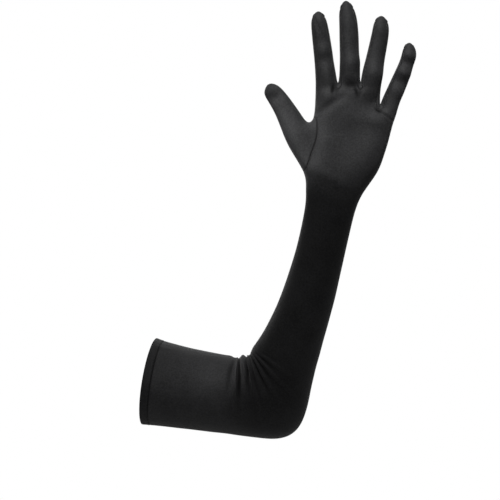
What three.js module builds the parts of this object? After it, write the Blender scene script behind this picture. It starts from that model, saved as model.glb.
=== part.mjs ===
// A long dress glove of black stretch satin for the left hand, bent at the elbow and with the
// fingers spread. Millimetres, +Z up, the palm faces -Y. The origin is the centre of the cuff's
// mouth; from there the sleeve runs along +X to the elbow and then up to the hand.
//
// One coarse net of quads follows the sleeve, the palm and the fingers. It is smoothed once, the
// elbow's folds are pressed into it, and each cloth piece is then the wall behind its own share
// of the net, with a narrow seam gap to its neighbours.
import * as THREE from "three";

const CLOTH = 1.2; // wall of the satin
const HEM_CLOTH = 2.2; // the cuff's hem is turned in, so its wall is doubled
const SEAM_GAP = 0.3; // clear distance between two pieces that are sewn together
const FINGER_COLUMNS = 8; // columns of the net across the palm, two for each finger

// Sections of the sleeve from the cuff to the wrist and on through the hand. "in" is the edge on
// the crease side of the elbow, which is the thumb's side of the hand, and "out" the edge across
// from it. y is the depth of the middle and deep half the thickness along the view. In the hand,
// palm says how far the columns have moved from an even ring to the places of the fingers, arch
// how far the row rises in its middle, and thenar how far it stands forward beside the thumb.
const UPPER_SLEEVE = [
  { inX: 6.0, inZ: 45.2, outX: -8.2, outZ: -45.6, y: 0, deep: 44.5, piece: "cuff_hem" },
  { inX: 12.4, inZ: 42.4, outX: -1.4, outZ: -45.8, y: -1, deep: 43.5, piece: "sleeve" },
  { inX: 25.0, inZ: 38.6, outX: 13.0, outZ: -47.2, y: -2.6, deep: 42.5, piece: "sleeve" },
  { inX: 54.0, inZ: 32.4, outX: 44.0, outZ: -50.6, y: -6, deep: 40.6, piece: "sleeve" },
];
const LOWER_SLEEVE = [
  { inX: 120.2, inZ: 57.0, outX: 177.5, outZ: 42.0, y: -35.0, deep: 33.6, piece: "sleeve" },
  { inX: 143.0, inZ: 112.0, outX: 193.0, outZ: 101.5, y: -51.2, deep: 27.2, piece: "sleeve" },
  { inX: 159.0, inZ: 180.0, outX: 206.8, outZ: 177.0, y: -71.6, deep: 19.0, piece: "hand" },
];
const PALM = [
  { inX: 157.5, inZ: 196, outX: 217.0, outZ: 195, y: -71.0, deep: 19.0, palm: 0.3, arch: 0, thenar: 3 },
  { inX: 159.3, inZ: 212, outX: 231.0, outZ: 213, y: -67.5, deep: 19.5, palm: 0.7, arch: 0, thenar: 8 },
  { inX: 162.5, inZ: 230, outX: 236.8, outZ: 230, y: -64.7, deep: 17.5, palm: 1, arch: 1, thenar: 10 },
  { inX: 167.0, inZ: 246, outX: 241.6, outZ: 246, y: -62.2, deep: 15.5, palm: 1, arch: 3, thenar: 8 },
  { inX: 167.2, inZ: 265, outX: 245.6, outZ: 262, y: -59.9, deep: 14.2, palm: 1, arch: 8, thenar: 4 },
];
const SIDE_SEAM = 1.035; // the hand's side columns stand this far out, in half widths
const PALM_HOLLOW = 3; // how far the middle of the palm lies behind its pads
const THENAR_FALL = 4; // power with which that swelling falls off across the palm
const SLEEVE_ROUNDNESS = 2; // a sleeve's section is an ellipse, and the palm's is a squarer one
const PALM_ROUNDNESS = 2.7;

// The elbow's sections fan out from a pivot just outside the crease.
const ELBOW = { x: 91.4, z: 39.0, inner: 13.2, from: 99.6, to: 15, rows: 12 };
const ELBOW_EDGE = [
  { turn: 99.6, outer: 93.8, y: -9.5, deep: 39.5 },
  { turn: 85, outer: 96.0, y: -12, deep: 39.0 },
  { turn: 75, outer: 101.0, y: -14, deep: 38.5 },
  { turn: 66, outer: 107.0, y: -16, deep: 38.0 },
  { turn: 57, outer: 108.5, y: -18, deep: 37.5 },
  { turn: 49, outer: 102.0, y: -20, deep: 37.0 },
  { turn: 41, outer: 93.5, y: -22, deep: 36.5 },
  { turn: 30, outer: 86.0, y: -25, deep: 36.0 },
  { turn: 15, outer: 82.0, y: -28, deep: 35.5 },
];
// Folds that fan from the crease: the direction in which they leave it and the one they settle
// to (degrees on the fan), how high and how wide (degrees) they are, and how far they reach.
const ELBOW_FOLDS = [
  { leaves: 98, settles: 96, high: 1.8, wide: 4.6, reach: 58 },
  { leaves: 78, settles: 86, high: 4.8, wide: 5.0, reach: 72 },
  { leaves: 56, settles: 70, high: 2.0, wide: 5.0, reach: 84 },
  { leaves: 41, settles: 55, high: 2.0, wide: 5.0, reach: 82 },
  { leaves: 26, settles: 39, high: 1.4, wide: 5.0, reach: 70 },
  { leaves: 10, settles: 22, high: 0.9, wide: 5.0, reach: 52 },
];
const FOLD_SETTLES = 14; // distance over which a fold turns to its settled direction
const FOLD_VALLEY = 0.35; // the cloth between two folds sinks by this share of their height
const VALLEY_WIDTH = 2; // in widths of the fold

// Where the fingers leave the palm, one row for each column from the index finger's outer edge
// to the little finger's: the height in front, between the fingers or at the side, and behind.
const FINGER_BASES = [
  { x: 168.6, front: 285, side: 289, back: 286, proud: 7.5 },
  { x: 179.3, front: 290, back: 291, proud: 13.5 },
  { x: 190.9, front: 297, side: 303, back: 298, proud: 10.5 },
  { x: 202.3, front: 297, back: 299, proud: 13.5 },
  { x: 213.7, front: 298, side: 305.5, back: 299, proud: 10.5 },
  { x: 223.9, front: 286, back: 290, proud: 13 },
  { x: 233.3, front: 275, side: 280.3, back: 276, proud: 10 },
  { x: 242.0, front: 270, back: 273, proud: 12 },
  { x: 249.0, front: 268, side: 272, back: 269, proud: 6.5 },
];
const FINGER_BASE_Y = -56.5;
const SIDE_OUTWARD = { thumb: -0.4, little: 0.8 }; // the side points stand out beyond their column

// Sections of each finger, base to tip: the middle, the turn of the section in the plane of the
// palm (degrees, positive where the right side is the higher), and half the width and depth.
const FINGERS = {
  index: {
    tip: { x: 171.3, z: 377.4, y: -44.5 },
    sections: [
      { x: 179.3, z: 309.5, y: -53.0, turn: 11, wide: 10.1, deep: 9.6 },
      { x: 176.2, z: 335.0, y: -49.3, turn: 7, wide: 9.4, deep: 8.8 },
      { x: 173.3, z: 359.5, y: -46.2, turn: 7, wide: 8.5, deep: 7.7 },
      { x: 171.5, z: 370.8, y: -45.0, turn: 6, wide: 7.2, deep: 6.4 },
    ],
  },
  middle: {
    tip: { x: 199.6, z: 388.3, y: -43.0 },
    sections: [
      { x: 203.1, z: 310.5, y: -53.0, turn: 1, wide: 10.1, deep: 9.8 },
      { x: 203.1, z: 338.0, y: -48.6, turn: 1, wide: 9.5, deep: 9.0 },
      { x: 202.3, z: 366.0, y: -44.9, turn: 2, wide: 9.2, deep: 7.9 },
      { x: 200.5, z: 380.3, y: -43.5, turn: 4, wide: 7.5, deep: 6.4 },
    ],
  },
  ring: {
    tip: { x: 235.6, z: 372.6, y: -45.5 },
    sections: [
      { x: 223.9, z: 302.5, y: -54.5, turn: -32, wide: 11.2, deep: 9.4 },
      { x: 229.0, z: 328.5, y: -50.2, turn: -11, wide: 9.4, deep: 8.6 },
      { x: 234.8, z: 354.5, y: -47.2, turn: -9, wide: 8.2, deep: 7.5 },
      { x: 235.4, z: 366.6, y: -46.0, turn: -6, wide: 7.1, deep: 6.2 },
    ],
  },
  little: {
    tip: { x: 263.5, z: 344.9, y: -51.5 },
    sections: [
      { x: 243.8, z: 285.5, y: -56.0, turn: -10, wide: 9.0, deep: 8.4 },
      { x: 253.7, z: 305.5, y: -53.8, turn: -23, wide: 8.3, deep: 7.7 },
      { x: 262.3, z: 328.0, y: -52.3, turn: -17, wide: 6.9, deep: 6.6 },
      { x: 263.6, z: 338.2, y: -51.8, turn: -8, wide: 6.6, deep: 5.8 },
    ],
  },
};
const THUMB = {
  tip: { x: 121.3, z: 302.4, y: -54.0 },
  sections: [
    { x: 150.0, z: 251.0, y: -64.5, turn: 48, wide: 14.9, deep: 14.0 },
    { x: 143.9, z: 264.8, y: -63.0, turn: 32, wide: 12.2, deep: 11.4 },
    { x: 136.2, z: 279.3, y: -60.0, turn: 29, wide: 10.5, deep: 10.0 },
    { x: 128.2, z: 291.4, y: -57.5, turn: 29, wide: 9.5, deep: 8.8 },
    { x: 123.1, z: 298.0, y: -55.0, turn: 30, wide: 8.3, deep: 7.3 },
  ],
  seamShift: [0, 2.5, 3.5, 0.5], // how far its seam bows into the palm, row by row
};
// Half the angle of the strip between two fingers: at the base, below the tip and at the last ring.
const STRIP_ANGLE = { base: 42, tip: 34, end: 12 };
const TIP_REACH = 9 / 4; // smoothing draws a closing point back, so it is set this much further out
const SHARPEST_CORNER = 0.5; // cosine at which a seam's corner stops stepping further in

const rad = THREE.MathUtils.degToRad;
const mix = THREE.MathUtils.lerp;

// The net: points, and quads that each belong to one cloth piece.
const points = [];
const quads = [];

function addPoint(point) {
  points.push(point);
  return points.length - 1;
}

function addQuad(piece, corners) {
  quads.push({ piece, corners });
}

// Joins two rings of the same count with a row of quads; pieceAt names each one's piece.
function joinRings(low, high, pieceAt) {
  const count = low.length;
  for (let i = 0; i < count; i += 1) {
    const next = (i + 1) % count;
    addQuad(pieceAt(i), [low[i], low[next], high[next], high[i]]);
  }
}

// The value of a column of a table at a place between its rows, smoothly.
function along(rows, key, column, place) {
  const last = rows.length - 1;
  let i = 0;
  while (i < last - 1 && (rows[i + 1][key] - place) * Math.sign(rows[last][key] - rows[0][key]) < 0) {
    i += 1;
  }
  const a = rows[i];
  const b = rows[i + 1];
  const t = THREE.MathUtils.clamp((place - a[key]) / (b[key] - a[key]), 0, 1);
  const before = rows[Math.max(i - 1, 0)][column];
  const after = rows[Math.min(i + 2, last)][column];
  const rise = b[column] - a[column];
  const startSlope = (b[column] - before) / 2;
  const endSlope = (after - a[column]) / 2;
  const square = t * t;
  const cube = square * t;
  return (
    a[column] + startSlope * (cube - 2 * square + t) + endSlope * (cube - square) +
    rise * (3 * square - 2 * cube)
  );
}

// The sections of the whole sleeve and palm, in order.
function gloveSections() {
  const fan = [];
  for (let i = 0; i < ELBOW.rows; i += 1) {
    const turn = mix(ELBOW.from, ELBOW.to, i / (ELBOW.rows - 1));
    const outer = along(ELBOW_EDGE, "turn", "outer", turn);
    const across = new THREE.Vector2(Math.cos(rad(turn)), -Math.sin(rad(turn)));
    fan.push({
      inX: ELBOW.x + across.x * ELBOW.inner,
      inZ: ELBOW.z + across.y * ELBOW.inner,
      outX: ELBOW.x + across.x * outer,
      outZ: ELBOW.z + across.y * outer,
      y: along(ELBOW_EDGE, "turn", "y", turn),
      deep: along(ELBOW_EDGE, "turn", "deep", turn),
      piece: "sleeve",
    });
  }
  return [...UPPER_SLEEVE, ...fan, ...LOWER_SLEEVE, ...PALM.map((row) => ({ ...row, piece: "hand" }))];
}

// Sideways place of each palm column, from -1 at the thumb's side to 1.
const columnSpan = FINGER_BASES[FINGER_COLUMNS].x - FINGER_BASES[0].x;
const COLUMN_PLACES = FINGER_BASES.map((base) => ((base.x - FINGER_BASES[0].x) / columnSpan) * 2 - 1);
const EDGE_PLACE = 0.95; // the first and last column lie just inside the side columns

// One ring of the sleeve or palm: nine columns in front, the outer side, nine behind, the thumb side.
function gloveRing(sections, i) {
  const row = sections[i];
  const middleOf = (s) => new THREE.Vector3((s.inX + s.outX) / 2, s.y, (s.inZ + s.outZ) / 2);
  const middle = middleOf(row);
  const before = middleOf(sections[Math.max(i - 1, 0)]);
  const after = middleOf(sections[Math.min(i + 1, sections.length - 1)]);
  const tangent = after.sub(before).normalize();
  const half = new THREE.Vector3(row.outX - row.inX, 0, row.outZ - row.inZ).multiplyScalar(0.5);
  const across = half.clone().normalize();
  const away = new THREE.Vector3().crossVectors(across, tangent).negate().normalize();
  if (away.y < 0) away.negate();
  const palm = row.palm || 0;
  const place = (column, side) => {
    const even = -Math.cos((Math.PI * (column + 1)) / (FINGER_COLUMNS + 2));
    const lateral = mix(even, COLUMN_PLACES[column] * EDGE_PLACE, palm);
    const round = mix(SLEEVE_ROUNDNESS, PALM_ROUNDNESS, palm);
    let depth = (1 - Math.abs(lateral) ** round) ** (1 / round);
    depth *= row.deep;
    if (side < 0) {
      depth -= palm * PALM_HOLLOW * Math.cos((lateral * Math.PI) / 2) ** 2;
      depth += (row.thenar || 0) * ((1 - lateral) / 2) ** THENAR_FALL;
    }
    const rise = (row.arch || 0) * (1 - lateral * lateral);
    return middle
      .clone()
      .addScaledVector(half, lateral)
      .addScaledVector(away, side * depth)
      .add(new THREE.Vector3(0, 0, rise));
  };
  const side = (sign) => middle.clone().addScaledVector(half, sign * mix(1, SIDE_SEAM, palm));
  const ring = [];
  for (let c = 0; c <= FINGER_COLUMNS; c += 1) ring.push(place(c, -1));
  ring.push(side(1));
  for (let c = FINGER_COLUMNS; c >= 0; c -= 1) ring.push(place(c, 1));
  ring.push(side(-1));
  return ring.map(addPoint);
}

const RIGHT_SIDE = FINGER_COLUMNS + 1; // index of the outer side column in a ring
const LEFT_SIDE = 2 * FINGER_COLUMNS + 3; // and of the thumb's side column
const behind = (column) => RIGHT_SIDE + 1 + FINGER_COLUMNS - column;

// Palm side or back of the hand, split along the side columns.
const handPiece = (i) => (i < RIGHT_SIDE || i === LEFT_SIDE ? "palm" : "back");

// The ring at the roots of the fingers, with the points between the fingers.
function fingerBaseRing() {
  const at = (base, y, z) => addPoint(new THREE.Vector3(base.x, y, z));
  const front = FINGER_BASES.map((base) => at(base, FINGER_BASE_Y - base.proud, base.front));
  const back = FINGER_BASES.map((base) => at(base, FINGER_BASE_Y + base.proud, base.back));
  const between = {};
  FINGER_BASES.forEach((base, c) => {
    if (base.side === undefined) return;
    const outward = { 0: SIDE_OUTWARD.thumb, [FINGER_COLUMNS]: SIDE_OUTWARD.little }[c] || 0;
    between[c] = addPoint(new THREE.Vector3(base.x + outward, FINGER_BASE_Y, base.side));
  });
  return { front, back, between };
}

// A ring of a finger or thumb with its points at the given angles; -90 is the palm side.
function digitRing(section, angles) {
  const grow = drawnIn(angles.length);
  const across = new THREE.Vector3(Math.cos(rad(section.turn)), 0, Math.sin(rad(section.turn)));
  const away = new THREE.Vector3(0, 1, 0);
  return angles.map((angle) =>
    addPoint(
      new THREE.Vector3(section.x, section.y, section.z)
        .addScaledVector(across, (section.wide / grow) * Math.cos(rad(angle)))
        .addScaledVector(away, (section.deep / grow) * Math.sin(rad(angle))),
    ),
  );
}

// The point that closes a digit, set so that the smoothed cloth ends at the tip.
function digitTip(digit) {
  const last = digit.sections[digit.sections.length - 1];
  const end = new THREE.Vector3(digit.tip.x, digit.tip.y, digit.tip.z);
  const ring = new THREE.Vector3(last.x, last.y, last.z);
  return addPoint(ring.lerp(end, TIP_REACH));
}

// How far smoothing draws a ring of so many points in.
const drawnIn = (count) => (4 + 2 * Math.cos((2 * Math.PI) / count)) / 6;

function addFinger(name, number, bases, strips) {
  const c = number * 2;
  const { front, back, between } = bases;
  let low = [
    front[c], front[c + 1], front[c + 2], between[c + 2],
    back[c + 2], back[c + 1], back[c], between[c],
  ];
  const sections = FINGERS[name].sections;
  // Quads 2 and 3 of a ring lie on the right side of the finger, and 6 and 7 on the left.
  const pieceAt = (i) => {
    if (i === 2 || i === 3) return strips.right || (i === 2 ? "palm" : "back");
    if (i === 6 || i === 7) return strips.left || (i === 7 ? "palm" : "back");
    return i < 2 ? "palm" : "back";
  };
  sections.forEach((section, i) => {
    const isLast = i === sections.length - 1;
    const even = mix(STRIP_ANGLE.base, STRIP_ANGLE.tip, i / (sections.length - 1));
    const strip = isLast ? STRIP_ANGLE.end : even;
    const angles = [strip - 180, -90, -strip, 0, strip, 90, 180 - strip, 180];
    const high = digitRing(section, angles);
    joinRings(low, high, pieceAt);
    low = high;
  });
  const tip = digitTip(FINGERS[name]);
  addQuad("palm", [low[7], low[0], low[1], tip]);
  addQuad("palm", [low[1], low[2], low[3], tip]);
  addQuad("back", [low[3], low[4], low[5], tip]);
  addQuad("back", [low[5], low[6], low[7], tip]);
}

// The thumb grows from the hole between four rings at the thumb's side of the hand.
function addThumb(rings) {
  const [bottom, lower, upper, top] = rings;
  rings.forEach((ring, i) => {
    points[ring[0]].x += THUMB.seamShift[i];
  });
  const hole = [
    top[LEFT_SIDE], top[0], upper[0], lower[0], bottom[0],
    bottom[LEFT_SIDE], bottom[behind(0)], lower[behind(0)], upper[behind(0)], top[behind(0)],
  ];
  const angles = hole.map((_, i) => (-360 * i) / hole.length);
  let low = hole;
  THUMB.sections.forEach((section) => {
    const high = digitRing(section, angles);
    joinRings(high, low, () => "thumb");
    low = high;
  });
  const tip = digitTip(THUMB);
  for (let i = 0; i < low.length; i += 2) {
    const corner = [low[i], low[(i + 1) % low.length], low[(i + 2) % low.length], tip];
    addQuad("thumb", corner.reverse());
  }
}

function buildNet() {
  const sections = gloveSections();
  const rings = sections.map((_, i) => gloveRing(sections, i));
  const handStart = sections.findIndex((s) => s.piece === "hand");
  const thumbStart = rings.length - 4;
  for (let i = 0; i + 1 < rings.length; i += 1) {
    const isHand = i >= handStart;
    const inHole = i >= thumbStart;
    const low = rings[i];
    const high = rings[i + 1];
    for (let k = 0; k < low.length; k += 1) {
      const beside = k === LEFT_SIDE || k === behind(0);
      if (inHole && beside) continue;
      const next = (k + 1) % low.length;
      const piece = isHand ? handPiece(k) : sections[i].piece;
      addQuad(piece, [low[k], low[next], high[next], high[k]]);
    }
  }
  const top = rings[rings.length - 1];
  const bases = fingerBaseRing();
  const { front, back, between } = bases;
  const baseRing = [
    ...front, between[FINGER_COLUMNS], ...[...back].reverse(), between[0],
  ];
  joinRings(top, baseRing, handPiece);
  addThumb(rings.slice(thumbStart));
  const strips = ["fourchette_index_middle", "fourchette_middle_ring", "fourchette_ring_little"];
  Object.keys(FINGERS).forEach((name, i) => {
    addFinger(name, i, bases, { left: strips[i - 1], right: strips[i] });
  });
}

// One round of Catmull-Clark smoothing; an open rim is smoothed along itself.
const RIM_KEEPS = 0.75; // a rim point's own share, and that of each neighbour on the rim
const RIM_TAKES = 0.125;

function smoothNet(net) {
  const key = (a, b) => (a < b ? `${a}_${b}` : `${b}_${a}`);
  const edges = new Map();
  const faceMiddles = net.quads.map((quad) => {
    const middle = new THREE.Vector3();
    quad.corners.forEach((c) => middle.addScaledVector(net.points[c], 1 / 4));
    return middle;
  });
  net.quads.forEach((quad, f) => {
    quad.corners.forEach((a, i) => {
      const b = quad.corners[(i + 1) % 4];
      const name = key(a, b);
      if (!edges.has(name)) edges.set(name, { ends: [a, b], faces: [] });
      edges.get(name).faces.push(f);
    });
  });
  const around = net.points.map(() => ({ faces: new Set(), edges: [], rim: [] }));
  for (const edge of edges.values()) {
    const [a, b] = edge.ends;
    for (const end of edge.ends) {
      around[end].edges.push(edge);
      edge.faces.forEach((f) => around[end].faces.add(f));
      if (edge.faces.length === 1) around[end].rim.push(end === a ? b : a);
    }
  }
  const points = net.points.map((point, i) => {
    const near = around[i];
    if (near.rim.length === 2) {
      const [a, b] = near.rim;
      return point.clone().multiplyScalar(RIM_KEEPS)
        .addScaledVector(net.points[a], RIM_TAKES)
        .addScaledVector(net.points[b], RIM_TAKES);
    }
    const n = near.faces.size;
    if (!n) return point.clone();
    const faceMean = new THREE.Vector3();
    near.faces.forEach((f) => faceMean.addScaledVector(faceMiddles[f], 1 / n));
    const edgeMean = new THREE.Vector3();
    near.edges.forEach((edge) => {
      edge.ends.forEach((end) => edgeMean.addScaledVector(net.points[end], 0.5 / n));
    });
    return faceMean
      .addScaledVector(edgeMean, 2)
      .addScaledVector(point, n - 3)
      .multiplyScalar(1 / n);
  });
  const faceStart = points.length;
  faceMiddles.forEach((middle) => points.push(middle));
  const edgePoints = new Map();
  for (const [name, edge] of edges) {
    const [a, b] = edge.ends;
    const middle = net.points[a].clone().add(net.points[b]);
    if (edge.faces.length === 1) {
      middle.multiplyScalar(1 / 2);
    } else {
      edge.faces.forEach((f) => middle.add(faceMiddles[f]));
      middle.multiplyScalar(1 / 4);
    }
    edgePoints.set(name, points.length);
    points.push(middle);
  }
  const quads = [];
  net.quads.forEach((quad, f) => {
    quad.corners.forEach((corner, i) => {
      const next = quad.corners[(i + 1) % 4];
      const last = quad.corners[(i + 3) % 4];
      const corners = [
        corner, edgePoints.get(key(corner, next)), faceStart + f, edgePoints.get(key(last, corner)),
      ];
      quads.push({ piece: quad.piece, corners });
    });
  });
  return { points, quads };
}

// Outward direction at each point of the net.
function normalsOf(net) {
  const normals = net.points.map(() => new THREE.Vector3());
  for (const { corners } of net.quads) {
    const [a, b, c, d] = corners.map((i) => net.points[i]);
    const normal = new THREE.Vector3().crossVectors(
      c.clone().sub(a),
      d.clone().sub(b),
    );
    corners.forEach((i) => normals[i].add(normal));
  }
  return normals.map((normal) => normal.normalize());
}

// How far the folds at the crease of the elbow raise the cloth at a point.
function foldRise(point) {
  const dx = point.x - ELBOW.x;
  const dz = ELBOW.z - point.z;
  const distance = Math.hypot(dx, dz);
  const turn = THREE.MathUtils.radToDeg(Math.atan2(dz, dx));
  let rise = 0;
  for (const fold of ELBOW_FOLDS) {
    const share = distance / fold.reach;
    if (share >= 1) continue;
    const early = Math.exp((ELBOW.inner - distance) / FOLD_SETTLES);
    const off = (turn - mix(fold.settles, fold.leaves, early)) / fold.wide;
    const fade = (1 - share * share) ** 2;
    const trough = off / VALLEY_WIDTH;
    const crest = Math.exp(-off * off) - FOLD_VALLEY * Math.exp(-trough * trough);
    rise += fold.high * fade * crest;
  }
  return rise;
}

function pressFolds(net) {
  const normals = normalsOf(net);
  net.points.forEach((point, i) => point.addScaledVector(normals[i], foldRise(point)));
}

// The closed wall behind one piece's quads. Points on its rim step in from the seam.
function wallOf(net, normals, piece, thickness) {
  const faces = net.quads.filter((quad) => quad.piece === piece).map((quad) => quad.corners);
  const count = new Map();
  const name = (a, b) => `${a}_${b}`;
  faces.forEach((corners) => {
    corners.forEach((a, i) => count.set(name(a, corners[(i + 1) % 4]), true));
  });
  const rim = [];
  faces.forEach((corners) => {
    corners.forEach((a, i) => {
      const b = corners[(i + 1) % 4];
      if (!count.has(name(b, a))) rim.push([a, b]);
    });
  });
  const inward = new Map();
  for (const [a, b] of rim) {
    const edge = net.points[b].clone().sub(net.points[a]).normalize();
    for (const end of [a, b]) {
      const step = new THREE.Vector3().crossVectors(normals[end], edge).normalize();
      if (!inward.has(end)) inward.set(end, []);
      inward.get(end).push(step);
    }
  }
  const index = new Map();
  const outer = [];
  const inner = [];
  faces.flat().forEach((i) => {
    if (index.has(i)) return;
    index.set(i, outer.length);
    const point = net.points[i].clone();
    const steps = inward.get(i);
    if (steps) {
      const sum = new THREE.Vector3();
      steps.forEach((step) => sum.add(step));
      const cosine = Math.max(sum.length() / steps.length, SHARPEST_CORNER);
      point.addScaledVector(sum.normalize(), SEAM_GAP / 2 / cosine);
    }
    outer.push(point);
    inner.push(point.clone().addScaledVector(normals[i], -thickness));
  });
  const triangles = [];
  const addFace = (p, q, r, s) => {
    if (p.distanceTo(r) < q.distanceTo(s)) triangles.push(p, q, r, p, r, s);
    else triangles.push(p, q, s, q, r, s);
  };
  faces.forEach((corners) => {
    const [a, b, c, d] = corners.map((i) => index.get(i));
    addFace(outer[a], outer[b], outer[c], outer[d]);
    addFace(inner[d], inner[c], inner[b], inner[a]);
  });
  rim.forEach(([a, b]) => {
    const i = index.get(a);
    const j = index.get(b);
    addFace(outer[j], outer[i], inner[i], inner[j]);
  });
  return new THREE.BufferGeometry().setFromPoints(triangles);
}

const satin = new THREE.MeshStandardMaterial({ color: 0x141414, roughness: 0.45, metalness: 0 });
const stretchedSatin = new THREE.MeshStandardMaterial({ color: 0x101010, roughness: 0.5, metalness: 0 });
const hemSatin = new THREE.MeshStandardMaterial({ color: 0x0d0d0d, roughness: 0.55, metalness: 0 });

const PIECES = [
  { name: "sleeve", cloth: CLOTH, material: satin },
  { name: "palm", cloth: CLOTH, material: satin },
  { name: "back", cloth: CLOTH, material: satin },
  { name: "thumb", cloth: CLOTH, material: satin },
  { name: "fourchette_index_middle", cloth: CLOTH, material: stretchedSatin },
  { name: "fourchette_middle_ring", cloth: CLOTH, material: stretchedSatin },
  { name: "fourchette_ring_little", cloth: CLOTH, material: stretchedSatin },
  { name: "cuff_hem", cloth: HEM_CLOTH, material: hemSatin },
];

buildNet();
const net = smoothNet({ points, quads });
pressFolds(net);
const normals = normalsOf(net);

const glove = new THREE.Group();
for (const { name, cloth, material } of PIECES) {
  const mesh = new THREE.Mesh(wallOf(net, normals, name, cloth), material);
  mesh.name = name;
  glove.add(mesh);
}

export default glove;
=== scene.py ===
import math

import bmesh
import bpy
from mathutils import Matrix, Quaternion, Vector, noise


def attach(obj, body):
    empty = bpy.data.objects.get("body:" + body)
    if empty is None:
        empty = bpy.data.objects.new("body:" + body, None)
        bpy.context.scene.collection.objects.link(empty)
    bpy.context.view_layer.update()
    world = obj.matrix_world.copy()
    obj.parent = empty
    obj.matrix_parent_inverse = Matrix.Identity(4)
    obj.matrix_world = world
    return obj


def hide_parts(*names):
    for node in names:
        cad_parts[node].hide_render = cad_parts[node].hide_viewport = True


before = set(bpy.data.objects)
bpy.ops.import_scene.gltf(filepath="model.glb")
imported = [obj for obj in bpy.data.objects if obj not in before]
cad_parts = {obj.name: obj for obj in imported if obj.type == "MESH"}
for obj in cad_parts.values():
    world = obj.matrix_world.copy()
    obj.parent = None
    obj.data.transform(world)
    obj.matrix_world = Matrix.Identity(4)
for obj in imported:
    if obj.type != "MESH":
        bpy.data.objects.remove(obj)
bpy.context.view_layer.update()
mm = 0.001  # the tables are in millimetres, the meshes in metres
print("frame loaded with", len(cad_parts), "nodes")

# The whole glove starts as one coarse net, the same as in the solids: a ring at the cuff is
# extruded through the sections of the sleeve and the palm, then into each finger and the thumb.
upperSleeve = [
    {"inX": 6.0, "inZ": 45.2, "outX": -8.2, "outZ": -45.6, "y": 0, "deep": 44.5},
    {"inX": 12.4, "inZ": 42.4, "outX": -1.4, "outZ": -45.8, "y": -1, "deep": 43.5},
    {"inX": 25.0, "inZ": 38.6, "outX": 13.0, "outZ": -47.2, "y": -2.6, "deep": 42.5},
    {"inX": 54.0, "inZ": 32.4, "outX": 44.0, "outZ": -50.6, "y": -6, "deep": 40.6},
]
lowerSleeve = [
    {"inX": 120.2, "inZ": 57.0, "outX": 177.5, "outZ": 42.0, "y": -35.0, "deep": 33.6},
    {"inX": 143.0, "inZ": 112.0, "outX": 193.0, "outZ": 101.5, "y": -51.2, "deep": 27.2},
    {"inX": 159.0, "inZ": 180.0, "outX": 206.8, "outZ": 177.0, "y": -71.6, "deep": 19.0},
]
palmRows = [
    {"inX": 157.5, "inZ": 196, "outX": 217.0, "outZ": 195, "y": -71.0, "deep": 19.0, "palm": 0.3},
    {"inX": 159.3, "inZ": 212, "outX": 231.0, "outZ": 213, "y": -67.5, "deep": 19.5, "palm": 0.7},
    {"inX": 162.5, "inZ": 230, "outX": 236.8, "outZ": 230, "y": -64.7, "deep": 17.5, "palm": 1},
    {"inX": 167.0, "inZ": 246, "outX": 241.6, "outZ": 246, "y": -62.2, "deep": 15.5, "palm": 1},
    {"inX": 167.2, "inZ": 265, "outX": 245.6, "outZ": 262, "y": -59.9, "deep": 14.2, "palm": 1},
]
# How far each palm row arches up in the middle and swells towards the thumb.
palmShape = [
    {"arch": 0, "thenar": 3}, {"arch": 0, "thenar": 8}, {"arch": 1, "thenar": 10},
    {"arch": 3, "thenar": 8}, {"arch": 8, "thenar": 4},
]
# The elbow's sections fan out from a pivot just outside the crease.
elbow = {"x": 91.4, "z": 39.0, "inner": 13.2, "from": 99.6, "to": 15, "rows": 12}
elbowEdge = [
    {"turn": 99.6, "outer": 93.8, "y": -9.5, "deep": 39.5},
    {"turn": 85, "outer": 96.0, "y": -12, "deep": 39.0},
    {"turn": 75, "outer": 101.0, "y": -14, "deep": 38.5},
    {"turn": 66, "outer": 107.0, "y": -16, "deep": 38.0},
    {"turn": 57, "outer": 108.5, "y": -18, "deep": 37.5},
    {"turn": 49, "outer": 102.0, "y": -20, "deep": 37.0},
    {"turn": 41, "outer": 93.5, "y": -22, "deep": 36.5},
    {"turn": 30, "outer": 86.0, "y": -25, "deep": 36.0},
    {"turn": 15, "outer": 82.0, "y": -28, "deep": 35.5},
]
fingerBases = [
    {"x": 168.6, "front": 285, "side": 289, "back": 286, "proud": 7.5},
    {"x": 179.3, "front": 290, "back": 291, "proud": 13.5},
    {"x": 190.9, "front": 297, "side": 303, "back": 298, "proud": 10.5},
    {"x": 202.3, "front": 297, "back": 299, "proud": 13.5},
    {"x": 213.7, "front": 298, "side": 305.5, "back": 299, "proud": 10.5},
    {"x": 223.9, "front": 286, "back": 290, "proud": 13},
    {"x": 233.3, "front": 275, "side": 280.3, "back": 276, "proud": 10},
    {"x": 242.0, "front": 270, "back": 273, "proud": 12},
    {"x": 249.0, "front": 268, "side": 272, "back": 269, "proud": 6.5},
]
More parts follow.
